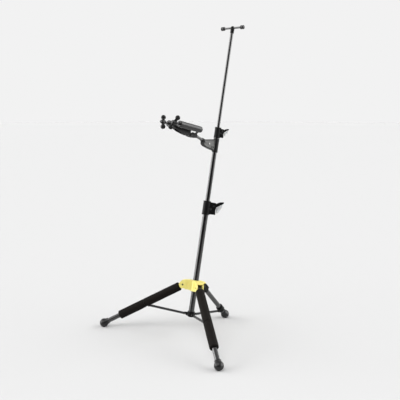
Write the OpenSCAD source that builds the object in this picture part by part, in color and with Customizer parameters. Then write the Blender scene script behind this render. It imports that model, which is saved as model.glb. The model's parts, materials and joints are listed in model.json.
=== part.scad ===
// Leaning tripod stand for a wind instrument, with a telescoping post and a self-closing yoke.
// The post leans back over the short rear leg. Z is up and the floor is at Z = 0.

/* [Stance] */
// Backward lean of the post from upright, in degrees
lean = 12.6; // [6:0.2:18]
// Angle between each leg and the post, in degrees
leg_splay = 55.4; // [48:0.2:60]
// Front leg, from hub pivot to the centre of its foot
front_leg = 442; // [380:1:520]

/* [Post] */
// Outer diameter of the lower tube
lower_tube_d = 27; // [24:0.5:30]
// Outer diameter of the middle tube
mid_tube_d = 22; // [19:0.5:22]
// Outer diameter of the top rod
rod_d = 15; // [10:0.5:15]
// Wall of the three tubes
tube_wall = 1.5; // [1.2:0.1:1.7]
// Lower end of the post, below the leg pivots
post_bottom = -143; // [-150:1:-143]
// Middle of the lower clutch, above the leg pivots
low_clutch_h = 379.5; // [360:0.5:440]
// Middle of the upper clutch, above the leg pivots
top_clutch_h = 745.5; // [740:0.5:800]
// Height of the T-bar above the leg pivots
t_bar_h = 1262; // [1100:1:1300]
// Length of middle tube inside the lower tube
mid_overlap = 240; // [180:1:245]
// Length of top rod inside the middle tube
rod_overlap = 100; // [80:1:140]

/* [Leg hub] */
// Distance of the leg pivots from the post's axis
hub_pivot_r = 58; // [56:0.5:64]
// Radius of the round ears at the leg pivots
hub_ear_r = 18; // [15:0.5:18.5]
// Thickness of each ear
hub_ear_t = 5; // [4:0.5:6]
// Top of the hub above the leg pivots
hub_top = 29; // [26:0.5:34]
// Lower end of the hub's sleeve, below the leg pivots
hub_bottom = -23; // [-30:0.5:-18]
// Wall of the hub's sleeve round the post
hub_wall = 8; // [6:0.5:9]

/* [Legs] */
// Outer diameter of the leg tubes
leg_tube_d = 23; // [19:0.5:23]
// Outer diameter of the foam sleeves
foam_d = 42; // [38:0.5:42.5]
// Distance from pivot to the lower end of the foam
foam_end = 350; // [300:1:370]
// Radius of the ball feet
foot_r = 21; // [18:0.5:23]
// Depth of the flat worn on the bottom of each foot
foot_flat = 1.5; // [1:0.1:2.5]
// Diameter of the leg pivot pins
leg_pin_d = 6; // [5:0.5:8]

/* [Braces] */
// Distance from leg pivot to brace pivot, along the leg
brace_at = 198; // [190:1:206]
// Depth of the brace pivot below the leg's axis
brace_drop = 18; // [18:0.5:20]
// Distance of the spreader's pins from the post's axis
spreader_pin_r = 31; // [30:0.5:34]
// Height of the spreader's pins, below the leg pivots
spreader_pin_z = -134; // [-137:0.5:-131]
// Width of the brace bars
brace_w = 10.5; // [8:0.5:10.5]
// Thickness of the brace bars
brace_t = 4; // [3:0.5:4.5]
// Diameter of the brace pins
brace_pin_d = 5; // [4:0.5:5]

/* [Clutches] */
// Direction that the clutch levers point, clockwise from the rear leg
clutch_turn = 45; // [0:5:90]
// Radius of the lower clutch's collar
low_clutch_r = 18; // [16.5:0.5:20]
// Height of the lower clutch's collar
low_clutch_tall = 67; // [62:1:70]
// Radius of the upper clutch's collar
top_clutch_r = 14.5; // [13.5:0.5:16]
// Height of the upper clutch's collar
top_clutch_tall = 52; // [48:1:53]
// Upper lever's size as a share of the lower one
small_lever = 0.66; // [0.6:0.02:0.7]

/* [Yoke] */
// Distance of each prong from the middle
prong_x = 34; // [34:0.5:40]
// Height of the prongs above the leg pivots
prong_h = 732; // [728:0.5:736]
// Distance from the post's axis to the back of the prongs
prong_back = 162; // [155:1:168]
// Length of the prong rods
prong_len = 192; // [170:1:220]
// Diameter of the prong rods
prong_rod_d = 9; // [7:0.5:10]
// Outer diameter of the prong sleeves
prong_foam_d = 30; // [22:0.5:31]
// Diameter of the yoke's arm
arm_d = 14; // [12:0.5:15]
// Half width of the trigger plate
trigger_half = 13; // [11:0.5:14.5]
// Distance from a gate's axis to the centre of its knobs
gate_reach = 24; // [22:0.5:24.5]
// Radius of the gate knobs
gate_knob_r = 11; // [8:0.5:11]
// Outward lean of the open gates, in degrees
gate_lean = 24.5; // [15:0.5:35]

/* [T-bar] */
// Distance between the middles of the two end knobs
t_bar_w = 120; // [90:1:140]
// Diameter of the bar
t_bar_d = 9; // [7:0.5:10]
// Diameter of the end knobs
t_knob_d = 19; // [15:0.5:22]
// Length of the end knobs
t_knob_len = 20; // [16:0.5:24]

/* [Hidden] */
$fn = 72;
// radial clearance of fixed joints and of pins and tubes that turn or slide
fit = 0.05;
// clearance round foam and between rubber and metal ends
soft_gap = 0.3;
// side clearance between forks and what they hold
side_gap = 0.6;
left = -120;
right = 120;
rear = 0;
lower_r = lower_tube_d / 2;
mid_r = mid_tube_d / 2;
rod_r = rod_d / 2;
leg_r = leg_tube_d / 2;
foam_r = foam_d / 2;
lower_bore = lower_r - tube_wall;
mid_bore = mid_r - tube_wall;
rod_bore = rod_r - tube_wall;
leg_bore = leg_r - tube_wall;
// height of a foot's centre and its place front to back, with the leg pivots' level at the post as zero
function foot_z(a, len) =
    -(hub_pivot_r + len * sin(leg_splay)) * cos(a) * sin(lean) - len * cos(leg_splay) * cos(lean);
function foot_y(a, len) =
    (hub_pivot_r + len * sin(leg_splay)) * cos(a) * cos(lean) - len * cos(leg_splay) * sin(lean);
// the rear leg is as long as sets all three feet on one floor
rear_leg = (-foot_z(right, front_leg) - hub_pivot_r * sin(lean)) / cos(leg_splay - lean);
z_floor = foot_r - foot_flat - foot_z(right, front_leg);
y_front = foot_y(right, front_leg) - foot_r;
y_back = t_bar_h * sin(lean) + t_knob_d / 2;
y_shift = -(y_front + y_back) / 2;
// hub fork
fork_half = leg_r + side_gap;
arm_half = fork_half + hub_ear_t;
foam_start = hub_ear_r + 2;
// the rear arm of the hub is a tongue, held in the rear leg's knuckle
tongue_half = leg_r + 1;
tongue_r = hub_ear_r - 3;
knuckle_in = tongue_half + side_gap;
knuckle_out = knuckle_in + hub_ear_t;
knuckle_r = tongue_r + 1;
// brace and its bracket
bracket_half = 13;
bracket_r = leg_r + 5.5;
bracket_eye_r = brace_w / 2 + 1.5;
brace_slot = brace_t / 2 + side_gap;
brace_ear_t = 3.4;
ears = brace_slot + brace_ear_t;
ear_room = ears + 2;
fold_groove = (foam_r - brace_drop + brace_w / 2 + 1.5) / tan(18);
brace_end_r = hub_pivot_r + brace_at * sin(leg_splay) - brace_drop * cos(leg_splay);
brace_end_z = -brace_at * cos(leg_splay) - brace_drop * sin(leg_splay);
brace_len = norm([brace_end_r - spreader_pin_r, brace_end_z - spreader_pin_z]);
brace_rise = atan2(brace_end_z - spreader_pin_z, brace_end_r - spreader_pin_r);
// where the brace's upper edge leaves the foam, up the leg from the brace's pin
brace_to_leg = 90 - leg_splay + brace_rise;
brace_exit = brace_w / 2 * sin(brace_to_leg)
    + (foam_r - brace_drop + brace_w / 2 * cos(brace_to_leg)) / tan(brace_to_leg);
// clutches: pin places are measured from the post's axis and the clutch's middle
lever_pin_r = 2.5;
cam_r = 8;
lever_half = 4.8;
lever_wide = 11;
lever_neck = 24.5;
low_seat = low_clutch_h - 4;
top_seat = top_clutch_h - 3;
low_pin = [mid_r + 22, 12];
top_pin = [rod_r + 15, 9];
// yoke
prong_tip = prong_back + prong_len;
prong_foam_start = prong_back - 6;
prong_foam_end = prong_tip - 46;
gate_hub_len = 22;
gate_at = prong_tip - 13;
gate_hub_r = 9;
arm_start = [78, prong_h - 45];
arm_end = [prong_back + 14, prong_h - 21.5];
arm_len = norm(arm_end - arm_start);
arm_rise = atan2(arm_end[1] - arm_start[1], arm_end[0] - arm_start[0]);
trigger_pin = [prong_back + 34, prong_h - 33];

// places a shape drawn on the upright post, with the leg pivots' level at zero
module stand() translate([0, y_shift, z_floor]) rotate([-lean, 0, 0]) children();

// turns +Y to point a degrees clockwise from the rear
module azimuth(a) rotate([0, 0, -a]) children();

// leg frame: the leg runs down -Z from its pivot and -Y is its underside
module leg_frame(a)
    stand() azimuth(a) translate([0, hub_pivot_r, 0]) rotate([leg_splay, 0, 0]) children();

// brace frame: the bar runs along +Y from its pin in the spreader
module brace_frame(a)
    stand() azimuth(a) translate([0, spreader_pin_r, spreader_pin_z]) rotate([brace_rise, 0, 0]) children();

// front frame: +Y is forward from the post
module front() stand() azimuth(180) children();

// an outline in Y and Z, from x = -half to half
module plate(outline, half)
    translate([-half, 0, 0]) rotate([90, 0, 90]) linear_extrude(2 * half) polygon(outline);

// a cylinder along X, from x0 to x1, at a point in Y and Z
module cross_rod(r, x0, x1, at) translate([x0, at[0], at[1]]) rotate([0, 90, 0]) cylinder(r = r, h = x1 - x0);

// an upright tube from z0 to z1
module tube(r, bore, z0, z1)
    difference() {
        translate([0, 0, z0]) cylinder(r = r, h = z1 - z0);
        translate([0, 0, z0 - 1]) cylinder(r = bore, h = z1 - z0 + 2);
    }

// a riveted pin along X with a domed head at each end
module rivet(r, head_r, head_t, half, at) {
    cross_rod(r, -half, half, at);
    for (side = [-1, 1])
        intersection() {
            cross_rod(head_r, side > 0 ? half : -half - head_t, side > 0 ? half + head_t : -half, at);
            translate([side * (half + head_t - head_r * 1.25), at[0], at[1]]) sphere(head_r * 1.25);
        }
}

// a pin along X with a flat round head at each end
module headed_pin(r, head_r, head_t, half, at) {
    cross_rod(r, -half, half, at);
    for (side = [-1, 1])
        cross_rod(head_r, side > 0 ? half : -half - head_t, side > 0 ? half + head_t : -half, at);
}

// ---- post ----

module lower_tube() color("#20201f") stand() tube(lower_r, lower_bore, post_bottom, low_seat);

module post_plug()
    color("#151515") stand() {
        translate([0, 0, post_bottom - 3]) cylinder(r1 = lower_r - 1.5, r2 = lower_r, h = 3);
        translate([0, 0, post_bottom]) cylinder(r = lower_bore - fit, h = 14);
    }

module mid_tube()
    color("#20201f") stand() tube(mid_r, mid_bore, low_clutch_h - mid_overlap, top_seat);

// guide bush: a plug in the tube's end that runs in the tube outside
module guide_bush(outer, inner, end, len)
    translate([0, 0, end]) {
        translate([0, 0, -len]) cylinder(r = outer - fit, h = len);
        cylinder(r = inner - fit, h = len - 2);
    }

module mid_tube_bush()
    color("#151515") stand() guide_bush(lower_bore, mid_bore, low_clutch_h - mid_overlap, 14);

module rod_bush() color("#151515") stand() guide_bush(mid_bore, rod_bore, top_clutch_h - rod_overlap, 12);

module top_rod()
    color("#20201f") stand() tube(rod_r, rod_bore, top_clutch_h - rod_overlap, t_bar_h - t_bar_d / 2 - 3);

// ---- T-bar ----

module t_socket()
    color("#151515") stand() difference() {
        union() {
            translate([0, 0, t_bar_h - 26]) cylinder(r1 = rod_r + 1.2, r2 = rod_r + 2.2, h = 26);
            translate([0, 0, t_bar_h]) sphere(rod_r + 2.2);
        }
        translate([0, 0, t_bar_h - 30]) cylinder(r = rod_r + fit, h = 27 - t_bar_d / 2);
        cross_rod(t_bar_d / 2 + fit, -20, 20, [0, t_bar_h]);
    }

module t_bar() color("#20201f") stand() cross_rod(t_bar_d / 2, -t_bar_w / 2 - 3, t_bar_w / 2 + 3, [0, t_bar_h]);

module t_bar_knobs()
    color("#151515") stand() for (side = [-1, 1])
        translate([side * t_bar_w / 2, 0, t_bar_h]) rotate([0, side * 90, 0]) difference() {
            intersection() {
                cylinder(d = t_knob_d, h = t_knob_len, center = true);
                sphere(norm([t_knob_d, t_knob_len]) / 2 - 1.6);
            }
            translate([0, 0, -t_knob_len]) cylinder(r = t_bar_d / 2 + fit, h = t_knob_len + 3 + soft_gap);
        }

// ---- clutches ----

// the collar round two tubes, with a cheeked block that carries the cam lever
module clutch_body(outer_r, inner_r, collar_r, tall, seat, pin, k) {
    slot = lever_half * k + side_gap;
    difference() {
        union() {
            translate([0, 0, -tall / 2]) cylinder(r = collar_r, h = tall);
            for (end = [-1, 1]) translate([0, 0, end * (tall / 2 - 3.5) - 2]) cylinder(r = collar_r + 0.8, h = 4);
            plate([[0, 5 - tall / 2], [pin[0] + 11 * k, 5 - tall / 2], [pin[0] + 12.5 * k, 7 - tall / 2],
                [pin[0] + 10.5 * k, pin[1] - 20 * k], [pin[0] + 14 * k, pin[1] + 2 * k],
                [pin[0] + 13.5 * k, pin[1] + 6 * k], [pin[0] + 10.5 * k, pin[1] + 15 * k],
                [pin[0] + 8.5 * k, pin[1] + 16.5 * k], [0, pin[1] + 18 * k]], lever_wide * k + 1);
        }
        translate([0, 0, -tall]) cylinder(r = outer_r + fit, h = tall + seat);
        translate([0, 0, seat - 1]) cylinder(r = inner_r + fit, h = tall);
        // lever slot, open above and outside
        plate([[pin[0] - (cam_r + 1.2) * k, pin[1] - (cam_r + 1.2) * k], [pin[0] + 20, pin[1] - (cam_r + 1.2) * k],
            [pin[0] + 20, tall], [pin[0] - (cam_r + 1.2) * k, tall]], slot);
        cross_rod(lever_pin_r + fit, -50, 50, pin);
        // brake shoe's bore
        translate([0, 0, pin[1]]) rotate([-90, 0, 0]) cylinder(r = 5 * k + fit, h = pin[0] - cam_r * k);
        // clamp screw
        cross_rod(2.5, -50, 50, [outer_r + 6, pin[1] - 15.5 * k]);
        // moulded grooves in the cheeks
        for (side = [-1, 1], at = [2.5, 11.5])
            translate([side * (lever_wide * k + 1), 0, 0])
                plate([[outer_r + 1, pin[1] + (at - 1.8) * k], [pin[0] - 6 * k, pin[1] + (at - 1.8) * k],
                    [pin[0] - 6 * k, pin[1] + (at + 1.8) * k], [outer_r + 1, pin[1] + (at + 1.8) * k]], 1.4);
        for (side = [-1, 1])
            translate([side * (lever_wide * k + 1), 0, 0])
                plate([[outer_r + 2, 9 - tall / 2], [pin[0] + 8 * k, 9 - tall / 2],
                    [pin[0] + 6.5 * k, pin[1] - 24 * k], [outer_r + 2, pin[1] - 24 * k]], 1.4);
    }
}

module clutch_fasteners(outer_r, pin, k) {
    half = lever_wide * k + 1;
    headed_pin(lever_pin_r, lever_pin_r + 1.5, 1.6, half, pin);
    headed_pin(2.5 - fit, 2.5 + 3.5 * k, 2.2, half, [outer_r + 6, pin[1] - 15.5 * k]);
}

module clutch_shoe(inner_r, pin, k)
    difference() {
        translate([0, 0, pin[1]]) rotate([-90, 0, 0]) cylinder(r = 5 * k, h = pin[0] - cam_r * k - fit);
        cylinder(r = inner_r + fit, h = 100, center = true);
    }

// lever outlines, measured from the pin
function scaled(points, k) = [for (p = points) p * k];
lever_line = [[0, 7.9], [8, 9.5], [16, 17], [24, 21.5], [34, 24.5], [44.5, 25.8], [47, 24], [46.5, 21], [44, 17.6],
    [28.4, 7.2], [17, -1.6], [12, -4.4], [6, -5]];
grip_line = [[17.8, -1.6], [28.6, 6.7], [43.4, 16.7], [42.6, 6], [39, -6], [32.6, -18.5], [24, -29.5], [18.5, -33],
    [15.8, -28], [14.4, -17], [15, -8]];

// narrow between the cheeks and wide past the neck
module lever_shape(outline, k, wide) {
    plate(scaled(outline, k), lever_half * k);
    difference() {
        plate(scaled(outline, k), wide * k);
        cross_rod(lever_neck * k, -20, 20, [0, 0]);
    }
}

module clutch_lever(pin, k)
    translate([0, pin[0], pin[1]]) difference() {
        union() {
            lever_shape(lever_line, k, lever_wide);
            cross_rod(cam_r * k - fit, -lever_half * k, lever_half * k, [0, 0]);
        }
        cross_rod(lever_pin_r + fit, -20, 20, [0, 0]);
    }

module clutch_grip(pin, k)
    translate([0, pin[0], pin[1]]) difference() {
        lever_shape(grip_line, k, lever_wide - 1.5);
        // thumb hollows in both flanks
        for (side = [-1, 1])
            translate([side * (lever_wide + 8.2) * k, 30 * k, -6 * k]) sphere(13 * k);
    }

module low_clutch() stand() translate([0, 0, low_clutch_h]) azimuth(clutch_turn) children();
module top_clutch() stand() translate([0, 0, top_clutch_h]) azimuth(clutch_turn) children();

module low_clutch_body()
    color("#161616") low_clutch()
        clutch_body(lower_r, mid_r, low_clutch_r, low_clutch_tall, low_seat - low_clutch_h, low_pin, 1);
module low_clutch_fasteners() color("#3a3a3a") low_clutch() clutch_fasteners(lower_r, low_pin, 1);
module low_clutch_shoe() color("#3a3a3a") low_clutch() clutch_shoe(mid_r, low_pin, 1);
module low_clutch_lever() color("#161616") low_clutch() clutch_lever(low_pin, 1);
module low_clutch_grip() color("#c9cac8") low_clutch() clutch_grip(low_pin, 1);

module top_clutch_body()
    color("#161616") top_clutch()
        clutch_body(mid_r, rod_r, top_clutch_r, top_clutch_tall, top_seat - top_clutch_h, top_pin, small_lever);
module top_clutch_fasteners() color("#3a3a3a") top_clutch() clutch_fasteners(mid_r, top_pin, small_lever);
module top_clutch_shoe() color("#3a3a3a") top_clutch() clutch_shoe(rod_r, top_pin, small_lever);
module top_clutch_lever() color("#161616") top_clutch() clutch_lever(top_pin, small_lever);
module top_clutch_grip() color("#c9cac8") top_clutch() clutch_grip(top_pin, small_lever);

// ---- leg hub and legs ----

// outline of one arm of the hub, seen from the side, up to a round end of radius r
function arm_line(r) = [[0, hub_bottom + 3], [hub_pivot_r - 12, hub_bottom + 3.5], [hub_pivot_r - r * 0.5, -r * 0.8],
    [hub_pivot_r, 0], [hub_pivot_r + r * 0.7, r * 0.7], [hub_pivot_r + 4, r + 5], [hub_pivot_r - 6, hub_top - 4.5],
    [hub_pivot_r - 22, hub_top - 1.5], [0, hub_top - 1.5]];

module hub_arm(half, r) {
    plate(arm_line(r), half);
    cross_rod(r, -half, half, [hub_pivot_r, 0]);
}

// moulded pockets in an arm's flanks, between the sleeve and its round end
module arm_pockets(half)
    for (side = [-1, 1])
        translate([side * half, 0, 0])
            plate([[lower_r + hub_wall + 5, hub_bottom + 9], [hub_pivot_r - hub_ear_r - 1, hub_bottom + 9],
                [hub_pivot_r - hub_ear_r - 1, hub_top - 10], [lower_r + hub_wall + 5, hub_top - 8]], 1.5);

// seats for the heads of a leg pivot pin
module pin_seats(half)
    for (side = [-1, 1])
        cross_rod(leg_pin_d / 2 + 2.3, side > 0 ? half - 2.5 : -half - 5, side > 0 ? half + 5 : -half + 2.5,
            [hub_pivot_r, 0]);

module fork_cut() {
    // the slot for a front leg, closed above by a hood
    plate([[lower_r + hub_wall + 3, -60], [lower_r + hub_wall + 3, hub_top - 8.5], [hub_pivot_r - 22, hub_top - 5.5],
        [hub_pivot_r - 6, hub_top - 8.5], [hub_pivot_r + 3, hub_ear_r + 0.5], [hub_pivot_r + 60, hub_ear_r + 0.5],
        [hub_pivot_r + 60, -60]], fork_half);
    pin_seats(arm_half);
    arm_pockets(arm_half);
}

module leg_hub()
    color("#f2cf2e") stand() difference() {
        union() {
            azimuth(90) translate([0, 0, hub_bottom]) cylinder(r = lower_r + hub_wall, h = hub_top - hub_bottom);
            for (a = [left, right]) azimuth(a) hub_arm(arm_half, hub_ear_r);
            azimuth(rear) hub_arm(tongue_half, tongue_r);
        }
        for (a = [left, right]) azimuth(a) fork_cut();
        azimuth(rear) arm_pockets(tongue_half);
        for (a = [left, right, rear]) azimuth(a) cross_rod(leg_pin_d / 2 + fit, -50, 50, [hub_pivot_r, 0]);
        translate([0, 0, hub_bottom - 1]) cylinder(r = lower_r + fit, h = hub_top - hub_bottom + 2);
    }

module leg_pivot_pins()
    color("#4a3d14") stand() {
        for (a = [left, right]) azimuth(a)
            rivet(leg_pin_d / 2, leg_pin_d / 2 + 1.8, 1.4, arm_half - 2.5 + fit, [hub_pivot_r, 0]);
        azimuth(rear) rivet(leg_pin_d / 2, leg_pin_d / 2 + 1.8, 1.4, knuckle_out - 2.5 + fit, [hub_pivot_r, 0]);
    }

module leg_tube(a, len, top)
    color("#20201f") leg_frame(a) difference() {
        tube(leg_r, leg_bore, -len, top);
        cross_rod(leg_pin_d / 2 + fit, -50, 50, [0, 0]);
    }

module leg_cap(a)
    color("#151515") leg_frame(a) difference() {
        union() {
            translate([0, 0, -14]) cylinder(r = leg_bore - fit, h = 23 + fit);
            intersection() {
                translate([0, 0, 9 + fit]) cylinder(r = leg_r, h = 6);
                translate([0, 0, 9 + fit + 4 - leg_r * 1.9]) sphere(leg_r * 1.9);
            }
        }
        cross_rod(leg_pin_d / 2 + fit, -50, 50, [0, 0]);
    }

// the rear leg's forked upper end, which straddles the hub's tongue
module rear_knuckle() {
    neck = leg_r + 3;
    color("#161616") leg_frame(rear) difference() {
        union() {
            intersection() {
                union() {
                    cross_rod(knuckle_r, -knuckle_out, knuckle_out, [0, 0]);
                    plate([[-knuckle_r, 0], [knuckle_r, 0], [knuckle_r, -tongue_r - 5], [neck - 1, -tongue_r - 10],
                        [1 - neck, -tongue_r - 10], [-knuckle_r, -tongue_r - 5]], knuckle_out);
                }
                translate([0, 0, -60]) cylinder(r = knuckle_out + 3.5, h = 100);
            }
            translate([0, 0, -tongue_r - 20]) cylinder(r = neck, h = 16);
        }
        translate([-knuckle_in, -60, -tongue_r - 3.3]) cube([2 * knuckle_in, 120, 100]);
        translate([0, 0, -80]) cylinder(r = leg_r + fit, h = 75 - tongue_r);
        cross_rod(leg_pin_d / 2 + fit, -50, 50, [0, 0]);
        translate([0, -hub_pivot_r, 0]) pin_seats(knuckle_out);
    }
}

module foot(a, len)
    color("#171716") difference() {
        leg_frame(a) difference() {
            union() {
                translate([0, 0, -len]) sphere(foot_r);
                translate([0, 0, -len + foot_r * 0.6]) cylinder(r1 = foot_r * 0.8, r2 = leg_r + 2.6, h = foot_r * 0.4);
                translate([0, 0, -len + foot_r - 1]) cylinder(r = leg_r + 3.2, h = 4.5);
            }
            translate([0, 0, -len - soft_gap]) cylinder(r = leg_r + fit, h = 60);
        }
        translate([-600, -600, -50]) cube([1200, 1200, 50]);
    }

// the upper sleeve runs on over the brace bracket, with a slot for the bracket's ears
module foam_sleeve(a, from, to, groove)
    color("#181512") leg_frame(a) difference() {
        translate([0, 0, -to]) rotate_extrude() polygon([[leg_r + soft_gap, 0], [foam_r - 2, 0], [foam_r, 2],
            [foam_r, to - from - 2], [foam_r - 2, to - from], [leg_r + soft_gap, to - from]]);
        translate([0, 0, -brace_at - bracket_half - 1])
            cylinder(r = bracket_r + soft_gap, h = 2 * bracket_half + 1 + soft_gap);
        translate([-ear_room, -foam_r - 10, -brace_at - bracket_half - 1])
            cube([2 * ear_room, foam_r + 10, bracket_half + brace_exit + 3]);
        // room for the folded brace in the underside
        translate([-brace_slot - 1.2, -foam_r - 10, -from - groove])
            cube([2 * brace_slot + 2.4, foam_r + 10 - leg_r - 0.6, groove + 1]);
    }

module brace_bracket(a)
    color("#161616") leg_frame(a) difference() {
        union() {
            translate([0, 0, -brace_at - bracket_half]) cylinder(r = bracket_r, h = 2 * bracket_half);
            plate([[0, -brace_at + 10], [-leg_r, -brace_at + 10], [-brace_drop, -brace_at + bracket_eye_r],
                [-brace_drop, -brace_at - bracket_eye_r], [-leg_r, -brace_at - 10], [0, -brace_at - 10]], ears);
            cross_rod(bracket_eye_r, -ears, ears, [-brace_drop, -brace_at]);
        }
        translate([0, 0, -brace_at - 30]) cylinder(r = leg_r + fit, h = 60);
        translate([-brace_slot, -60, -brace_at - 30]) cube([2 * brace_slot, 60 - brace_drop + brace_w / 2 + 0.8, 60]);
        cross_rod(brace_pin_d / 2 + fit, -50, 50, [-brace_drop, -brace_at]);
        // seats in the collar for the pin's heads
        for (side = [-1, 1])
            cross_rod(brace_pin_d / 2 + 1.9, side > 0 ? ears : -ears - 6, side > 0 ? ears + 6 : -ears,
                [-brace_drop, -brace_at]);
    }

module bracket_pin(a)
    color("#3a3a3a") leg_frame(a)
        rivet(brace_pin_d / 2, brace_pin_d / 2 + 1.6, 1.6, ears + fit, [-brace_drop, -brace_at]);

// ---- spreader and braces ----

module spreader_arm()
    union() {
        plate([[0, spreader_pin_z + 8], [spreader_pin_r, spreader_pin_z + 6.5], [spreader_pin_r, spreader_pin_z - 6.5],
            [0, spreader_pin_z - 8]], ears);
        cross_rod(6.5, -ears, ears, [spreader_pin_r, spreader_pin_z]);
    }

module spreader_arm_cut() {
    reach = brace_pin_d / 2 + 0.5;
    translate([-brace_slot, lower_r + 3, spreader_pin_z - 20]) cube([2 * brace_slot, 40, 40]);
    // open seat: the brace's pin drops out downwards and inwards as the legs fold
    cross_rod(brace_pin_d / 2 + fit, -50, 50, [spreader_pin_r, spreader_pin_z]);
    plate([[spreader_pin_r + reach, spreader_pin_z - 0.5], [spreader_pin_r + reach - 1, spreader_pin_z - 20],
        [spreader_pin_r - 13, spreader_pin_z - 20], [spreader_pin_r - 9.4, spreader_pin_z - 9],
        [spreader_pin_r - reach, spreader_pin_z - 0.5]], 20);
}

module spreader_hub()
    color("#1a1a1a") stand() difference() {
        union() {
            translate([0, 0, spreader_pin_z - 9]) cylinder(r = lower_r + 4, h = 23);
            for (a = [left, right, rear]) azimuth(a) spreader_arm();
        }
        for (a = [left, right, rear]) azimuth(a) spreader_arm_cut();
        translate([0, 0, spreader_pin_z - 20]) cylinder(r = lower_r + fit, h = 60);
        azimuth(60) translate([0, 0, spreader_pin_z + 8]) rotate([-90, 0, 0]) cylinder(r = 2, h = 30);
    }

module spreader_screw()
    color("#3a3a3a") stand() azimuth(60) translate([0, 0, spreader_pin_z + 8]) rotate([-90, 0, 0]) {
        translate([0, 0, lower_r + 0.4]) cylinder(r = 2 - fit, h = 3.6 + fit);
        translate([0, 0, lower_r + 4 + fit]) cylinder(r1 = 3.6, r2 = 2.8, h = 1.6);
    }

module brace(a)
    color("#2a2a2a") brace_frame(a) difference() {
        union() {
            translate([-brace_t / 2, 0, -brace_w / 2]) cube([brace_t, brace_len, brace_w]);
            for (end = [0, brace_len]) cross_rod(brace_w / 2, -brace_t / 2, brace_t / 2, [end, 0]);
        }
        for (end = [0, brace_len]) cross_rod(brace_pin_d / 2 + fit, -50, 50, [end, 0]);
        // pressed groove along each face
        for (side = [-1, 1])
            translate([side * brace_t / 2, 0, 0])
                plate([[14, -1.6], [brace_len - 14, -1.6], [brace_len - 14, 1.6], [14, 1.6]], 0.7);
    }

module brace_pin(a)
    color("#3a3a3a") brace_frame(a)
        rivet(brace_pin_d / 2, brace_pin_d / 2 + 1.6, 1.6, ears + 0.4, [0, 0]);

// ---- yoke ----

module arm_axis() translate([0, arm_start[0], arm_start[1]]) rotate([arm_rise - 90, 0, 0]) children();

module yoke_bracket()
    color("#4c4c4b") front() difference() {
        union() {
            translate([0, 0, prong_h - 82]) cylinder(r = mid_r + 3, h = 66);
            plate([[0, prong_h - 18], [86, prong_h - 34], [98, prong_h - 40], [104, prong_h - 50], [103, prong_h - 58],
                [92, prong_h - 65], [72, prong_h - 70], [46, prong_h - 73.5], [20, prong_h - 76], [0, prong_h - 80]], 7);
            intersection() {
                arm_axis() cylinder(r = arm_d / 2 + 3, h = 28);
                translate([-20, 0, prong_h - 100]) cube([40, 110, 100]);
            }
            for (at = [[22, prong_h - 60], [56, prong_h - 49]]) cross_rod(6, -8.4, 8.4, at);
        }
        translate([0, 0, prong_h - 90]) cylinder(r = mid_r + fit, h = 90);
        arm_axis() cylinder(r = arm_d / 2 + fit, h = 60);
        for (at = [[22, prong_h - 60], [56, prong_h - 49]]) cross_rod(2.5, -50, 50, at);
        // moulded pockets that leave a web and a rim
        for (side = [-1, 1])
            translate([side * 7, 0, 0]) {
                plate([[mid_r + 6, prong_h - 25.5], [48, prong_h - 31.5], [48, prong_h - 40],
                    [30, prong_h - 49], [mid_r + 6, prong_h - 50]], 3);
                plate([[33, prong_h - 69.5], [33, prong_h - 55], [45, prong_h - 60], [68, prong_h - 64.5]], 3);
            }
    }

module bracket_screws()
    color("#8a8a88") front() for (at = [[22, prong_h - 60], [56, prong_h - 49]])
        rivet(2.5 - fit, 4.6, 2, 8.4 + fit, at);

module yoke_arm() color("#3c3c3b") front() arm_axis() cylinder(r = arm_d / 2, h = arm_len);

// a prong rod: straight out along the prong, with a cranked root that drops to the yoke's body
module prong_rod(side, r) {
    root = [side * 9, prong_back + 14, prong_h - 29];
    elbow = [side * prong_x, prong_back + 2, prong_h];
    run = elbow - root;
    translate(elbow) rotate([-90, 0, 0]) cylinder(r = r, h = prong_len - 2);
    translate(elbow) sphere(r + 0.4);
    translate(root) rotate([0, acos(run[2] / norm(run)), atan2(run[1], run[0])]) cylinder(r = r, h = norm(run));
}

module prong_rods() color("#2a2a2a") front() for (side = [-1, 1]) prong_rod(side, prong_rod_d / 2);

module yoke_body()
    color("#141414") front() difference() {
        union() {
            translate([0, prong_back, prong_h])
                plate([[-4, -24], [-6, -30], [-3, -38], [4, -40], [26, -40], [28, -38], [28, -22], [24, -20], [0, -20]], 15);
            for (side = [-1, 1]) translate([side * 11.5, 0, 0]) {
                translate([0, trigger_pin[0], trigger_pin[1]])
                    plate([[-10, -6.5], [0, -6.5], [0, 6.5], [-10, 6.5]], 3.5);
                cross_rod(6.5, -3.5, 3.5, trigger_pin);
            }
        }
        arm_axis() cylinder(r = arm_d / 2 + fit, h = arm_len + soft_gap);
        for (side = [-1, 1]) prong_rod(side, prong_rod_d / 2 + fit);
        cross_rod(2 + fit, -50, 50, trigger_pin);
    }

module trigger_pin() color("#3a3a3a") front() rivet(2, 3.4, 1.4, 15 + fit, trigger_pin);

module trigger_plate()
    color("#121212") front() difference() {
        union() {
            translate([0, trigger_pin[0], trigger_pin[1]]) {
                plate([[9, -4.5], [40, -3], [76, 3], [110, 13], [118, 17.5], [117, 20.5], [110, 21.5], [26, 17.5],
                    [13, 12], [9, 7]], trigger_half);
                plate([[0, -6], [10, -4], [10, 5], [0, 6]], 7.4);
            }
            cross_rod(6, -7.4, 7.4, trigger_pin);
        }
        cross_rod(2 + fit, -50, 50, trigger_pin);
        // hollow underside
        translate([0, trigger_pin[0], trigger_pin[1]])
            plate([[18, -30], [18, 9], [28, 13.5], [103, 17], [103, -30]], trigger_half - 3);
    }

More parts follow.
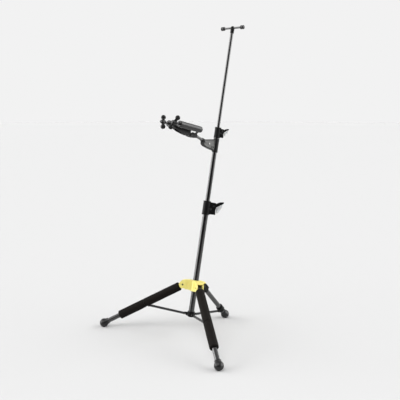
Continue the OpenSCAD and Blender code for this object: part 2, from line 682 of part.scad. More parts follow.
module prong_sleeve(side) {
    sleeve_r = prong_foam_d / 2;
    len = prong_foam_end - prong_foam_start;
    color("#1d1b19") front() difference() {
        translate([side * prong_x, prong_foam_start, prong_h]) rotate([-90, 0, 0]) intersection() {
            rotate_extrude()
                polygon([[0, 0], [sleeve_r, 0], [sleeve_r, len - 2.5], [sleeve_r - 2.5, len], [0, len]]);
            union() {
                translate([0, 0, sleeve_r * 1.24]) sphere(sleeve_r * 1.24);
                translate([0, 0, 10]) cylinder(r = 2 * sleeve_r, h = len);
            }
        }
        // the cranked root leaves through the back of the sleeve
        prong_rod(side, prong_rod_d / 2 + soft_gap);
    }
}

// one swing gate: a hub that turns on the prong rod and a finger with a rubber knob at each end
module gate(side) {
    spread = side * gate_reach * sin(gate_lean);
    tip = [spread, -7, gate_reach * cos(gate_lean)];
    color("#232322") front() translate([side * prong_x, gate_at, prong_h]) difference() {
        union() {
            rotate([90, 0, 0]) cylinder(r = gate_hub_r, h = gate_hub_len, center = true);
            for (way = [-1, 1]) {
                rotate([0, acos(way * tip[2] / norm(tip)), atan2(way * tip[1], way * tip[0])])
                    cylinder(r1 = 8, r2 = 6.6, h = norm(tip) - 2);
                translate(way * tip) sphere(gate_knob_r);
            }
        }
        rotate([90, 0, 0]) cylinder(r = prong_rod_d / 2 + fit, h = 60, center = true);
    }
}

module gate_nuts()
    color("#3a3a3a") front() for (side = [-1, 1])
        translate([side * prong_x, gate_at + gate_hub_len / 2 + soft_gap, prong_h]) rotate([-90, 0, 0])
            difference() {
                union() {
                    cylinder(r = prong_rod_d / 2 + 2, h = 2);
                    cylinder(r = prong_rod_d / 2 + 1.2, h = 5);
                }
                translate([0, 0, -1]) cylinder(r = prong_rod_d / 2 + fit, h = prong_tip - gate_at - gate_hub_len / 2 + 1);
            }

lower_tube();
post_plug();
spreader_hub();
spreader_screw();
leg_hub();
leg_pivot_pins();
leg_tube(left, front_leg, 9);  // leg_tube_left
leg_tube(right, front_leg, 9);  // leg_tube_right
leg_tube(rear, rear_leg, -tongue_r - 5 - fit);  // leg_tube_rear
leg_cap(left);  // leg_cap_left
leg_cap(right);  // leg_cap_right
rear_knuckle();
foot(left, front_leg);  // foot_left
foot(right, front_leg);  // foot_right
foot(rear, rear_leg);  // foot_rear
brace_bracket(left);  // brace_bracket_left
brace_bracket(right);  // brace_bracket_right
brace_bracket(rear);  // brace_bracket_rear
bracket_pin(left);  // bracket_pin_left
bracket_pin(right);  // bracket_pin_right
bracket_pin(rear);  // bracket_pin_rear
brace(left);  // brace_left
brace(right);  // brace_right
brace(rear);  // brace_rear
brace_pin(left);  // brace_pin_left
brace_pin(right);  // brace_pin_right
brace_pin(rear);  // brace_pin_rear
foam_sleeve(left, foam_start, brace_at + bracket_half, 0);  // foam_upper_left
foam_sleeve(right, foam_start, brace_at + bracket_half, 0);  // foam_upper_right
foam_sleeve(left, brace_at + bracket_half + soft_gap, foam_end, fold_groove);  // foam_lower_left
foam_sleeve(right, brace_at + bracket_half + soft_gap, foam_end, fold_groove);  // foam_lower_right
low_clutch_body();
low_clutch_fasteners();
low_clutch_shoe();
low_clutch_lever();
low_clutch_grip();
mid_tube_bush();
mid_tube();
top_clutch_body();
top_clutch_fasteners();
top_clutch_shoe();
top_clutch_lever();
top_clutch_grip();
rod_bush();
top_rod();
t_socket();
t_bar();
t_bar_knobs();
yoke_bracket();
bracket_screws();
yoke_arm();
yoke_body();
prong_rods();
prong_sleeve(1);  // prong_sleeve_left
prong_sleeve(-1);  // prong_sleeve_right
trigger_plate();
trigger_pin();
gate(1);  // gate_left
gate(-1);  // gate_right
gate_nuts();
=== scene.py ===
import json
import math
import bpy
import numpy as np
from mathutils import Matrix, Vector


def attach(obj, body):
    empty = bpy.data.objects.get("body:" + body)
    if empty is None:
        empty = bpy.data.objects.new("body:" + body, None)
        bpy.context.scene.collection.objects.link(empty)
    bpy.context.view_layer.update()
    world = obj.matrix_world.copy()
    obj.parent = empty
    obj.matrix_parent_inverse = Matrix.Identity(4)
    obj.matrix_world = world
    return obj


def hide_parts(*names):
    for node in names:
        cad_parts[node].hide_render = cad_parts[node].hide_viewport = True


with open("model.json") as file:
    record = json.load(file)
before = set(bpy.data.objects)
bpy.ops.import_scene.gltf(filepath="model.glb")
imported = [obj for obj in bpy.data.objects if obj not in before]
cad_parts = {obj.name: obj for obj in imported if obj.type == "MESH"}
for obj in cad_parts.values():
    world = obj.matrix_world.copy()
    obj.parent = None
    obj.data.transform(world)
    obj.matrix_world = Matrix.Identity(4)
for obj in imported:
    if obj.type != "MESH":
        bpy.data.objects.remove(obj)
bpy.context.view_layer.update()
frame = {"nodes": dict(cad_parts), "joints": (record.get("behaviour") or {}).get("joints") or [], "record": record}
nodes = frame["nodes"]
joints = {joint["name"]: joint for joint in frame["joints"]}
print("frame loaded:", len(nodes), "nodes")

stance = {"splay": math.radians(55.4), "pivotOut": 0.058, "prongHigh": 0.732, "tBarHigh": 1.262}


def unit(v):
    v = np.asarray(v, float)
    return v / np.linalg.norm(v)


postUp = unit(joints["leg_hub_slide"]["axis"])
rearPivot = np.array(joints["leg_fold_rear"]["pos_m"])
rearOut = unit(np.cross(postUp, -unit(joints["leg_fold_rear"]["axis"])))
postBase = rearPivot - stance["pivotOut"] * rearOut


# Origin at the leg's pivot; x across, y out of the upper flank, z back up the leg.
def legFrame(side):
    joint = joints["leg_fold_" + side]
    across = -unit(joint["axis"])
    out = unit(np.cross(postUp, across))
    c, s = math.cos(stance["splay"]), math.sin(stance["splay"])
    return np.array(joint["pos_m"]), np.array([across, c * out + s * postUp, c * postUp - s * out])


# Origin on the post; x to the side that the names call left, y forward along the prongs, z up the post.
def frontFrame(side=0.0, forward=0.0, high=0.0):
    axes = np.array([[-1.0, 0.0, 0.0], -rearOut, postUp])
    return postBase + np.array([side, forward, high]) @ axes, axes


# Origin at the first point, z towards the second.
def along(axisFrom, axisTo):
    z = unit(np.subtract(axisTo, axisFrom))
    x = unit(np.cross([0.31, 0.87, 0.12], z))
    return np.asarray(axisFrom, float), np.array([x, np.cross(z, x), z])


def put(points, place):
    origin, axes = place
    return np.asarray(points, float) @ axes + origin


# A turned shape: every profile point (radius, level) goes round a circle of the given steps. bulge(angle,
# level) multiplies the radius.
def ring(radius, level, steps, bulge=None):
    angle = np.linspace(0, 2 * math.pi, steps, endpoint=False)
    a, r = np.meshgrid(angle, radius)
    z = np.repeat(np.asarray(level, float)[:, None], steps, 1)
    if bulge is not None:
        r = r * bulge(a, z)
    return np.stack([r * np.cos(a), r * np.sin(a), z], -1)


# Faces of a grid whose columns run round: quads between rows, and a fan to a pole at each open end.
def skin(grid, closedLoop=False):
    rows, cols = grid.shape[:2]
    i, j = np.meshgrid(np.arange(rows if closedLoop else rows - 1), np.arange(cols), indexing="ij")
    n, k = (i + 1) % rows, (j + 1) % cols
    faces = np.stack([i * cols + j, i * cols + k, n * cols + k, n * cols + j], -1).reshape(-1, 4).tolist()
    points = grid.reshape(-1, 3)
    if not closedLoop:
        poles = np.array([grid[0].mean(0), grid[-1].mean(0)])
        first, last = len(points), len(points) + 1
        c = np.arange(cols)
        faces += np.stack([np.full(cols, first), (c + 1) % cols, c], -1).tolist()
        top = (rows - 1) * cols
        faces += np.stack([np.full(cols, last), top + c, top + (c + 1) % cols], -1).tolist()
        points = np.vstack([points, poles])
    return points, faces


# Turns every face when the enclosed volume, the sum of signed corner pyramids, comes out negative.
def outward(points, faces):
    tris = np.array([[f[0], f[k], f[k + 1]] for f in faces for k in range(1, len(f) - 1)])
    a, b, c = (points[tris[:, k]] for k in range(3))
    volume = np.einsum("ij,ij->i", a, np.cross(b, c)).sum()
    return faces if volume > 0 else [f[::-1] for f in faces]


# One object from closed shells of points and faces, smooth shaded, riding on a body.
def makePiece(name, shells, material, body, stands=(), sharp=None):
    allPoints, allFaces, base = [], [], 0
    for points, faces in shells:
        centre = points.mean(0)
        allFaces += [[v + base for v in f] for f in outward(points - centre, faces)]
        allPoints.append(points)
        base += len(points)
    mesh = bpy.data.meshes.new(name)
    mesh.from_pydata(np.vstack(allPoints).tolist(), [], allFaces)
    mesh.validate()
    mesh.polygons.foreach_set("use_smooth", np.ones(len(mesh.polygons), bool))
    mesh.materials.append(material)
    if sharp:
        mesh.set_sharp_from_angle(angle=sharp)
    piece = bpy.data.objects.new(name, mesh)
    bpy.context.scene.collection.objects.link(piece)
    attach(piece, body)
    if stands:
        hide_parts(*stands)
    return piece


# Points of a quadratic bend from start to end, pulled to the corner.
def softCorner(start, corner, end, steps=7):
    t = np.linspace(0, 1, steps)[:, None]
    start, corner, end = (np.asarray(p, float) for p in (start, corner, end))
    return (1 - t) ** 2 * start + 2 * t * (1 - t) * corner + t ** 2 * end


# A node group with its inputs as (label, kind, value) and outputs as (label, kind), and its two end nodes.
def newGroup(name, inputs, outputs):
    group = bpy.data.node_groups.new(name, "ShaderNodeTree")
    for label, kind, value in inputs:
        socket = group.interface.new_socket(label, in_out="INPUT", socket_type=kind)
        socket.default_value = value
    for label, kind in outputs:
        group.interface.new_socket(label, in_out="OUTPUT", socket_type=kind)
    return group, group.nodes.new("NodeGroupInput"), group.nodes.new("NodeGroupOutput")


def addNode(tree, kind, **settings):
    node = tree.nodes.new(kind)
    for key, value in settings.items():
        if key in node.inputs:
            node.inputs[key].default_value = value
        else:
            setattr(node, key, value)
    return node


def addMath(tree, operation, a, b=None, clamp=False):
    node = tree.nodes.new("ShaderNodeMath")
    node.operation = operation
    node.use_clamp = clamp
    for socket, value in zip(node.inputs, (a, b)):
        if value is None:
            continue
        if isinstance(value, (int, float)):
            socket.default_value = value
        else:
            tree.links.new(value, socket)
    return node.outputs[0]


def addNoise(tree, vector, scale, detail=3.0, roughness=0.55):
    noise = addNode(tree, "ShaderNodeTexNoise", Detail=detail, Roughness=roughness)
    if isinstance(scale, (int, float)):
        noise.inputs["Scale"].default_value = scale
    else:
        tree.links.new(scale, noise.inputs["Scale"])
    tree.links.new(vector, noise.inputs["Vector"])
    return noise.outputs["Fac"]


def objectCoordinates(tree):
    return tree.nodes.new("ShaderNodeTexCoord").outputs["Object"]


wearFeel = {"samples": 6, "gain": 6.0, "patchScale": 90.0, "patchFloor": 0.38, "patchGain": 3.0}


# Mask where a rounded copy of the normal turns away from the true one, broken up by noise.
def makeEdgeWear():
    group, given, out = newGroup(
        "edgeWear",
        [("Radius", "NodeSocketFloat", 0.0008), ("Amount", "NodeSocketFloat", 0.5)],
        [("Mask", "NodeSocketFloat"), ("Normal", "NodeSocketVector")])
    bevel = addNode(group, "ShaderNodeBevel", samples=wearFeel["samples"])
    group.links.new(given.outputs["Radius"], bevel.inputs["Radius"])
    geometry = group.nodes.new("ShaderNodeNewGeometry")
    dot = addNode(group, "ShaderNodeVectorMath", operation="DOT_PRODUCT")
    group.links.new(bevel.outputs[0], dot.inputs[0])
    group.links.new(geometry.outputs["Normal"], dot.inputs[1])
    turned = addMath(group, "SUBTRACT", 1.0, dot.outputs["Value"])
    sharp = addMath(group, "MULTIPLY", turned, wearFeel["gain"], clamp=True)
    patchy = addNoise(group, objectCoordinates(group), wearFeel["patchScale"], 5.0, 0.7)
    patchy = addMath(group, "SUBTRACT", patchy, wearFeel["patchFloor"])
    patchy = addMath(group, "MULTIPLY", patchy, wearFeel["patchGain"], clamp=True)
    worn = addMath(group, "MULTIPLY", sharp, patchy)
    worn = addMath(group, "MULTIPLY", worn, given.outputs["Amount"])
    group.links.new(worn, out.inputs["Mask"])
    group.links.new(bevel.outputs[0], out.inputs["Normal"])
    return group


grainFeel = {"coarseScale": 0.25, "coarseHeight": 0.7}


# Height of a moulded grain: fine noise with coarser patches over it, and a slow tone drift.
def makeGrain():
    group, given, out = newGroup(
        "mouldGrain",
        [("Scale", "NodeSocketFloat", 1400.0), ("Drift", "NodeSocketFloat", 18.0)],
        [("Height", "NodeSocketFloat"), ("Tone", "NodeSocketFloat")])
    coords = objectCoordinates(group)
    fine = addNoise(group, coords, given.outputs["Scale"], 2.0, 0.6)
    coarseScale = addMath(group, "MULTIPLY", given.outputs["Scale"], grainFeel["coarseScale"])
    coarse = addNoise(group, coords, coarseScale, 2.0, 0.5)
    height = addMath(group, "ADD", fine, addMath(group, "MULTIPLY", coarse, grainFeel["coarseHeight"]))
    drift = addNoise(group, coords, given.outputs["Drift"], 4.0, 0.6)
    group.links.new(height, out.inputs["Height"])
    group.links.new(drift, out.inputs["Tone"])
    return group


dustFeel = {"upGain": 1.2, "patchFloor": 0.35, "patchGain": 2.2}


# Mask of settled dust: faces that look up, in soft patches.
def makeDust():
    group, given, out = newGroup(
        "settledDust",
        [("Amount", "NodeSocketFloat", 0.3), ("Patch", "NodeSocketFloat", 40.0)],
        [("Mask", "NodeSocketFloat")])
    geometry = group.nodes.new("ShaderNodeNewGeometry")
    split = group.nodes.new("ShaderNodeSeparateXYZ")
    group.links.new(geometry.outputs["Normal"], split.inputs[0])
    upward = addMath(group, "MULTIPLY", split.outputs["Z"], dustFeel["upGain"], clamp=True)
    patch = addNoise(group, objectCoordinates(group), given.outputs["Patch"], 5.0, 0.65)
    patch = addMath(group, "SUBTRACT", patch, dustFeel["patchFloor"])
    patch = addMath(group, "MULTIPLY", patch, dustFeel["patchGain"], clamp=True)
    mask = addMath(group, "MULTIPLY", upward, patch)
    mask = addMath(group, "MULTIPLY", mask, given.outputs["Amount"])
    group.links.new(mask, out.inputs["Mask"])
    return group


edgeWear, mouldGrain, settledDust = makeEdgeWear(), makeGrain(), makeDust()
print("shader groups built")


def placeGroup(tree, group, **values):
    node = tree.nodes.new("ShaderNodeGroup")
    node.node_tree = group
    for label, value in values.items():
        node.inputs[label].default_value = value
    return node


def blendColour(tree, mask, low, high):
    mix = tree.nodes.new("ShaderNodeMix")
    mix.data_type = "RGBA"
    tree.links.new(mask, mix.inputs[0])
    for socket, colour in ((mix.inputs[6], low), (mix.inputs[7], high)):
        if isinstance(colour, tuple):
            socket.default_value = (*colour, 1.0)
        else:
            tree.links.new(colour, socket)
    return mix.outputs[2]


# Maps a 0.3 to 0.7 noise onto low to high.
def spread(tree, value, low, high):
    node = addNode(tree, "ShaderNodeMapRange")
    for label, number in (("From Min", 0.3), ("From Max", 0.7), ("To Min", low), ("To Max", high)):
        node.inputs[label].default_value = number
    tree.links.new(value, node.inputs["Value"])
    return node.outputs["Result"]


# 1 inside a plane and 0 outside it, with a short ramp between: the distance along the inward direction, scaled
# and clamped. Point and direction are given as (forward, up) in the yoke's middle plane.
def planeMask(tree, point, inward, ramp=0.0006):
    origin, axes = frontFrame(0.0, point[0], stance["prongHigh"] + point[1])
    direction = unit(inward[0] * axes[1] + inward[1] * axes[2])
    dot = addNode(tree, "ShaderNodeVectorMath", operation="DOT_PRODUCT")
    tree.links.new(objectCoordinates(tree), dot.inputs[0])
    dot.inputs[1].default_value = tuple(direction / ramp)
    return addMath(tree, "SUBTRACT", dot.outputs["Value"], float(origin @ direction) / ramp, clamp=True)


# The product of several plane masks is the polygon that all of them enclose.
def panelMask(tree, planes):
    mask = None
    for point, inward in planes:
        side = planeMask(tree, point, inward)
        mask = side if mask is None else addMath(tree, "MULTIPLY", mask, side)
    return mask


mouldFeel = {"drift": 18.0, "depth": 0.0002, "dustPatch": 40.0, "dustColour": (0.32, 0.31, 0.29), "dustRoughness": 0.4,
             "bleed": (0.004, 0.003, 0.001), "bleedScale": 0.5}


# Painted or moulded surface: tone drift, grain bump over softened edges, worn edges and dust.
def moulded(name, look):
    material = bpy.data.materials.new(name)
    material.use_nodes = True
    tree = material.node_tree
    shader = tree.nodes["Principled BSDF"]
    shader.inputs["Specular IOR Level"].default_value = look.get("specular", 0.5)
    shader.inputs["Metallic"].default_value = look.get("metallic", 0.0)
    shader.inputs["Coat Weight"].default_value = look.get("coat", 0.0)
    shader.inputs["Coat Roughness"].default_value = look.get("coatRoughness", 0.2)
    if look.get("subsurface"):
        shader.inputs["Subsurface Weight"].default_value = look["subsurface"]
        shader.inputs["Subsurface Radius"].default_value = mouldFeel["bleed"]
        shader.inputs["Subsurface Scale"].default_value = mouldFeel["bleedScale"]
    grain = placeGroup(tree, mouldGrain, Scale=look["grain"], Drift=mouldFeel["drift"])
    tone = spread(tree, grain.outputs["Tone"], 0.0, 1.0)
    colour = blendColour(tree, tone, look["dark"], look["light"])
    if look.get("panel"):
        inner = blendColour(tree, tone, look["panelDark"], look["panelLight"])
        colour = blendColour(tree, panelMask(tree, look["panel"]), colour, inner)
    wear = placeGroup(tree, edgeWear, Radius=look.get("edge", 0.0008), Amount=look.get("wear", 0.3))
    colour = blendColour(tree, wear.outputs["Mask"], colour, look["worn"])
    dust = placeGroup(tree, settledDust, Amount=look.get("dust", 0.1), Patch=mouldFeel["dustPatch"])
    colour = blendColour(tree, dust.outputs["Mask"], colour, mouldFeel["dustColour"])
    tree.links.new(colour, shader.inputs["Base Color"])
    low, high = look["roughness"]
    rough = spread(tree, grain.outputs["Tone"], low, high)
    dustRough = addMath(tree, "MULTIPLY", dust.outputs["Mask"], mouldFeel["dustRoughness"])
    rough = addMath(tree, "ADD", rough, dustRough, clamp=True)
    tree.links.new(rough, shader.inputs["Roughness"])
    bump = addNode(tree, "ShaderNodeBump", Strength=look["bump"], Distance=mouldFeel["depth"])
    tree.links.new(grain.outputs["Height"], bump.inputs["Height"])
    tree.links.new(wear.outputs["Normal"], bump.inputs["Normal"])
    tree.links.new(bump.outputs[0], shader.inputs["Normal"])
    return material


foamFeel = {"sheenRoughness": 0.45, "pitGain": 1.6, "dustPatch": 55.0, "dustColour": (0.26, 0.25, 0.235),
            "fineScale": 0.35, "fineHeight": 0.8, "depth": 0.0004}


# Closed-cell foam: small pits from cell distance, soft blotches, a light bloom on raised skin.
def foam(name, look):
    material = bpy.data.materials.new(name)
    material.use_nodes = True
    tree = material.node_tree
    shader = tree.nodes["Principled BSDF"]
    shader.inputs["Specular IOR Level"].default_value = look["specular"]
    shader.inputs["Sheen Weight"].default_value = look["sheen"]
    shader.inputs["Sheen Roughness"].default_value = foamFeel["sheenRoughness"]
    coords = objectCoordinates(tree)
    cells = addNode(tree, "ShaderNodeTexVoronoi", feature="F1", Scale=look["cells"])
    tree.links.new(coords, cells.inputs["Vector"])
    pit = addMath(tree, "MULTIPLY", cells.outputs["Distance"], foamFeel["pitGain"], clamp=True)
    blotch = addNoise(tree, coords, look["blotch"], 4.0, 0.6)
    tone = addMath(tree, "MULTIPLY", pit, spread(tree, blotch, 0.5, 1.0), clamp=True)
    colour = blendColour(tree, tone, look["pit"], look["skin"])
    dust = placeGroup(tree, settledDust, Amount=look["dust"], Patch=foamFeel["dustPatch"])
    colour = blendColour(tree, dust.outputs["Mask"], colour, foamFeel["dustColour"])
    tree.links.new(colour, shader.inputs["Base Color"])
    tree.links.new(spread(tree, blotch, *look["roughness"]), shader.inputs["Roughness"])
    fine = addNoise(tree, coords, look["cells"] * foamFeel["fineScale"], 3.0, 0.6)
    height = addMath(tree, "ADD", pit, addMath(tree, "MULTIPLY", fine, foamFeel["fineHeight"]))
    bump = addNode(tree, "ShaderNodeBump", Strength=look["bump"], Distance=foamFeel["depth"])
    tree.links.new(height, bump.inputs["Height"])
    tree.links.new(bump.outputs[0], shader.inputs["Normal"])
    return material


looks = {
    "powderCoat": moulded("powderCoat", {
        "dark": (0.003, 0.003, 0.0032), "light": (0.006, 0.006, 0.0062), "worn": (0.10, 0.10, 0.10), "grain": 900.0,
        "roughness": (0.14, 0.22), "bump": 0.04, "specular": 0.75, "coat": 0.6, "coatRoughness": 0.12, "wear": 0.2,
        "dust": 0.0}),
    "blackMoulding": moulded("blackMoulding", {
        "dark": (0.002, 0.002, 0.0022), "light": (0.005, 0.005, 0.0052), "worn": (0.03, 0.03, 0.031), "grain": 1500.0,
        "roughness": (0.34, 0.48), "bump": 0.22, "specular": 0.16, "edge": 0.0011, "wear": 0.4, "dust": 0.01}),
    "footRubber": moulded("footRubber", {
        "dark": (0.004, 0.004, 0.004), "light": (0.009, 0.009, 0.009), "worn": (0.03, 0.03, 0.03), "grain": 1100.0,
        "roughness": (0.26, 0.38), "bump": 0.14, "specular": 0.45, "edge": 0.0012, "wear": 0.3, "dust": 0.02}),
    "hubYellow": moulded("hubYellow", {
        "dark": (0.79, 0.67, 0.165), "light": (0.83, 0.76, 0.265), "worn": (0.95, 0.90, 0.50), "grain": 1300.0,
        "roughness": (0.34, 0.48), "bump": 0.15, "edge": 0.0014, "wear": 0.4, "dust": 0.0, "subsurface": 0.12}),
    "paleGrip": moulded("paleGrip", {
        "dark": (0.60, 0.61, 0.61), "light": (0.72, 0.73, 0.73), "worn": (0.82, 0.82, 0.82), "grain": 1400.0,
        "roughness": (0.36, 0.50), "bump": 0.16, "edge": 0.0012, "wear": 0.4, "dust": 0.04, "subsurface": 0.08}),
    "bracketGrey": moulded("bracketGrey", {
        "dark": (0.003, 0.003, 0.0032), "light": (0.007, 0.007, 0.007), "worn": (0.04, 0.04, 0.04), "grain": 1000.0,
        "roughness": (0.34, 0.46), "bump": 0.22, "specular": 0.2, "edge": 0.0012, "wear": 0.5, "dust": 0.02,
        "panelDark": (0.105, 0.105, 0.103), "panelLight": (0.165, 0.165, 0.162),
        "panel": [((0.040, -0.0290), (-0.186, -1.0)), ((0.020, -0.0715), (-0.115, 1.0)),
                  ((0.072, -0.0655), (-0.387, 1.0)), ((0.092, -0.050), (-1.0, 0.1)), ((0.0155, -0.050), (1.0, 0.0))]}),
    "armSteel": moulded("armSteel", {
        "dark": (0.10, 0.10, 0.10), "light": (0.17, 0.17, 0.17), "worn": (0.4, 0.4, 0.4), "grain": 700.0,
        "roughness": (0.16, 0.26), "bump": 0.08, "metallic": 0.9, "wear": 0.5, "dust": 0.02}),
    "darkSteel": moulded("darkSteel", {
        "dark": (0.022, 0.022, 0.023), "light": (0.040, 0.040, 0.041), "worn": (0.30, 0.30, 0.30), "grain": 900.0,
        "roughness": (0.28, 0.42), "bump": 0.14, "metallic": 0.35, "edge": 0.0006, "wear": 0.6, "dust": 0.04}),
    "zincSteel": moulded("zincSteel", {
        "dark": (0.010, 0.010, 0.010), "light": (0.018, 0.018, 0.018), "worn": (0.12, 0.12, 0.12), "grain": 900.0,
        "roughness": (0.28, 0.40), "bump": 0.08, "edge": 0.0005, "wear": 0.4, "dust": 0.02,
        "panelDark": (0.50, 0.50, 0.49), "panelLight": (0.62, 0.62, 0.61), "panel": [((0.039, 0.0), (1.0, 0.0))]}),
    "gateRubber": moulded("gateRubber", {
        "dark": (0.003, 0.003, 0.003), "light": (0.006, 0.006, 0.006), "worn": (0.04, 0.04, 0.04), "grain": 1300.0,
        "roughness": (0.26, 0.38), "bump": 0.14, "specular": 0.22, "edge": 0.001, "wear": 0.35, "dust": 0.02}),
    "legFoam": foam("legFoam", {
        "pit": (0.0025, 0.0018, 0.0015), "skin": (0.010, 0.0075, 0.006), "cells": 950.0, "blotch": 30.0,
        "roughness": (0.72, 0.9), "bump": 0.6, "sheen": 0.03, "specular": 0.12, "dust": 0.015}),
    "prongFoam": foam("prongFoam", {
        "pit": (0.003, 0.003, 0.003), "skin": (0.009, 0.009, 0.0088), "cells": 1200.0, "blotch": 36.0,
        "roughness": (0.28, 0.38), "bump": 0.2, "sheen": 0.04, "specular": 0.5, "dust": 0.02}),
}

finishes = {
    "coat_black": "powderCoat", "plastic_black": "blackMoulding", "rubber_black": "footRubber",
    "foam_black": "legFoam", "plastic_yellow": "hubYellow", "plastic_pale": "paleGrip",
    "cast_grey": "bracketGrey", "arm_grey": "armSteel", "gate_plastic": "gateRubber",
    "steel_dark": "darkSteel", "steel_bright": "zincSteel"}
slotOf = {part["node"]: part["material_slot"] for part in frame["record"]["subparts"]}
for nodeName, nodeObject in nodes.items():
    nodeObject.data.materials.clear()
    nodeObject.data.materials.append(looks[finishes[slotOf[nodeName]]])
print("materials placed")

legFoam = {
    "radius": 0.0209, "bore": 0.0118, "lip": 0.0035, "ripple": 0.006, "steps": 144,
    "upper": (0.020, 0.211), "lower": (0.2122, 0.350), "collarBore": 0.0173, "collarFrom": 0.1847,
    "slotFrom": 0.1830, "slotHalf": 27.5, "grooveHalf": 0.0038, "grooveLong": 0.029, "grooveFloor": 0.0121,
    "waves": [(0.45, 2, 23, 0.0), (0.35, 3, -61, 1.1), (0.3, 1, 97, 0.0)], "drawIn": 0.012, "drawLong": 0.006}


# A thick-walled tube whose outline goes up the outside, over a rounded lip, back down the bore and over the other
# lip. The outside swells and dips by slow sines of angle and length, each with a size, turns round, radians per
# metre and start, and the ends are drawn in by a falling exponential. Returns the grid of points and the distance
# along the leg of each row.
def foamSleeve(begin, finish, outsideRows, insideProfile):
    long = finish - begin
    outer, bore, lip = legFoam["radius"], legFoam["bore"], legFoam["lip"]
    outside = np.stack([np.full_like(outsideRows, outer), outsideRows], -1)
    farLip = softCorner((outer, long - lip), (outer, long), (outer - lip * 0.55, long))
    nearLip = softCorner((outer - lip, 0), (outer, 0), (outer, lip))
    loop = np.vstack([nearLip[:-1], outside, farLip[1:], insideProfile])
    angle = np.linspace(0, 2 * math.pi, legFoam["steps"], endpoint=False)[None, :]
    r, t = loop[:, :1], loop[:, 1:]
    isOutside = np.clip((r - bore) / (outer - bore), 0, 1) ** 4
    swell = sum(size * np.sin(turns * angle + pitch * t + start) for size, turns, pitch, start in legFoam["waves"])
    drawn = np.exp(-t / legFoam["drawLong"]) + np.exp(-(long - t) / legFoam["drawLong"])
    r = r * (1 + isOutside * (legFoam["ripple"] * (swell - 1.0) - legFoam["drawIn"] * drawn))
    return np.stack([r * np.cos(angle), r * np.sin(angle), -(begin + t) + 0 * r * angle], -1), begin + loop[:, 1]


# Cuts a window through the wall: faces between two columns and past one row are left out, and walls join the
# outside to the inside along the window's edges.
def cutWindow(grid, rowDistance, slotFrom, firstColumn, lastColumn):
    rows, cols = grid.shape[:2]
    inWindow = np.where(rowDistance >= slotFrom - 1e-7)[0]
    rowA, rowB = inWindow[0], inWindow[-1]
    points, faces = skin(grid, closedLoop=True)
    faces = np.array(faces)
    i, j = faces[:, 0] // cols, faces[:, 0] % cols
    keep = ~((i >= rowA) & (i < rowB) & (j >= firstColumn) & (j < lastColumn))
    faces = faces[keep].tolist()
    span = np.arange(rowA, rowB + 1)
    faces.append((span * cols + firstColumn).tolist())
    faces.append((span[::-1] * cols + lastColumn).tolist())
    c = np.arange(firstColumn, lastColumn)
    faces += np.stack([rowA * cols + c, rowA * cols + c + 1, rowB * cols + c + 1, rowB * cols + c], -1).tolist()
    used = np.unique(np.concatenate([np.array(f) for f in faces]))
    place = np.full(len(points), -1)
    place[used] = np.arange(len(used))
    return points[used], [place[np.array(f)].tolist() for f in faces]


def buildLegFoam():
    bore, lip = legFoam["bore"], legFoam["lip"]
    for side in ("left", "right"):
        frameOfLeg = legFrame(side)
        begin, finish = legFoam["upper"]
        slot, collar = legFoam["slotFrom"] - begin, legFoam["collarFrom"] - begin
        rowsOut = np.concatenate([np.linspace(lip, slot, 96), np.linspace(slot, finish - begin - lip, 14)[1:]])
        wide = np.linspace(finish - begin, collar, 10)
        inside = np.vstack([np.stack([np.full(10, legFoam["collarBore"]), wide], -1), [[bore, collar]],
                            np.stack([np.full(8, bore), np.linspace(slot, 0, 8)], -1)])
        grid, distance = foamSleeve(begin, finish, rowsOut, inside)
        half = round(legFoam["slotHalf"] / (360 / legFoam["steps"]))
        bottom = legFoam["steps"] * 3 // 4
        shell = cutWindow(grid, distance, legFoam["slotFrom"], bottom - half, bottom + half)
        upper = makePiece("legFoam.upper." + side, [(put(shell[0], frameOfLeg), shell[1])], looks["legFoam"],
                          "leg_" + side, ["foam_upper_" + side], sharp=0.6)
        begin, finish = legFoam["lower"]
        rowsOut = np.linspace(lip, finish - begin - lip, 110)
        inside = np.stack([np.full(8, bore), np.linspace(finish - begin, 0, 8)], -1)
        grid, distance = foamSleeve(begin, finish, rowsOut, inside)
        x, y = grid[:, :, 0], grid[:, :, 1]  # room for the folded brace along the underside
        inGroove = (np.abs(x) < legFoam["grooveHalf"]) & (y < 0) & (distance[:, None] - begin < legFoam["grooveLong"])
        grid[:, :, 1] = np.where(inGroove, np.maximum(y, -legFoam["grooveFloor"]), y)
        points, faces = skin(put(grid, frameOfLeg), closedLoop=True)
        lower = makePiece("legFoam.lower." + side, [(points, faces)], looks["legFoam"], "leg_" + side,
                          ["foam_lower_" + side], sharp=0.6)


buildLegFoam()
print("leg foam built")

prong = {"side": 0.034, "radius": 0.01490, "bore": 0.0048, "start": 0.156, "end": 0.308, "lip": 0.0024,
         "dome": 0.0118, "squeeze": 0.006}


# A turned sleeve: domed back end from a quarter ellipse, straight side with faint hand-squeezed waves, and a
# rolled front lip that turns in to the rod.
def buildProngSleeves():
    long, outer = prong["end"] - prong["start"], prong["radius"]
    q = np.linspace(0.04, 1, 18) * math.pi / 2
    dome = np.stack([outer * np.sin(q), prong["dome"] * (1 - np.cos(q))], -1)
    side = np.stack([np.full(70, outer), np.linspace(prong["dome"] + 0.001, long - prong["lip"], 70)], -1)
    lip = softCorner((outer, long - prong["lip"]), (outer, long), (outer - prong["lip"], long))
    throat = np.array([[prong["bore"] + 0.0015, long], [prong["bore"], long - 0.001], [prong["bore"], long - 0.008]])
    profile = np.vstack([dome, side, lip[1:], throat])

    def wave(a, z):
        return 1 + prong["squeeze"] * (np.sin(2 * a + 60 * z) + 0.6 * np.sin(3 * a - 130 * z) - 1.2)

    turned = ring(profile[:, 0], profile[:, 1], 96, wave)[:, :, [0, 2, 1]]
    for name, sign in (("left", 1), ("right", -1)):
        place = frontFrame(sign * prong["side"], prong["start"], stance["prongHigh"])
        piece = makePiece("prongFoam." + name, [skin(put(turned, place))], looks["prongFoam"], "mid_post",
                          ["prong_sleeve_" + name])


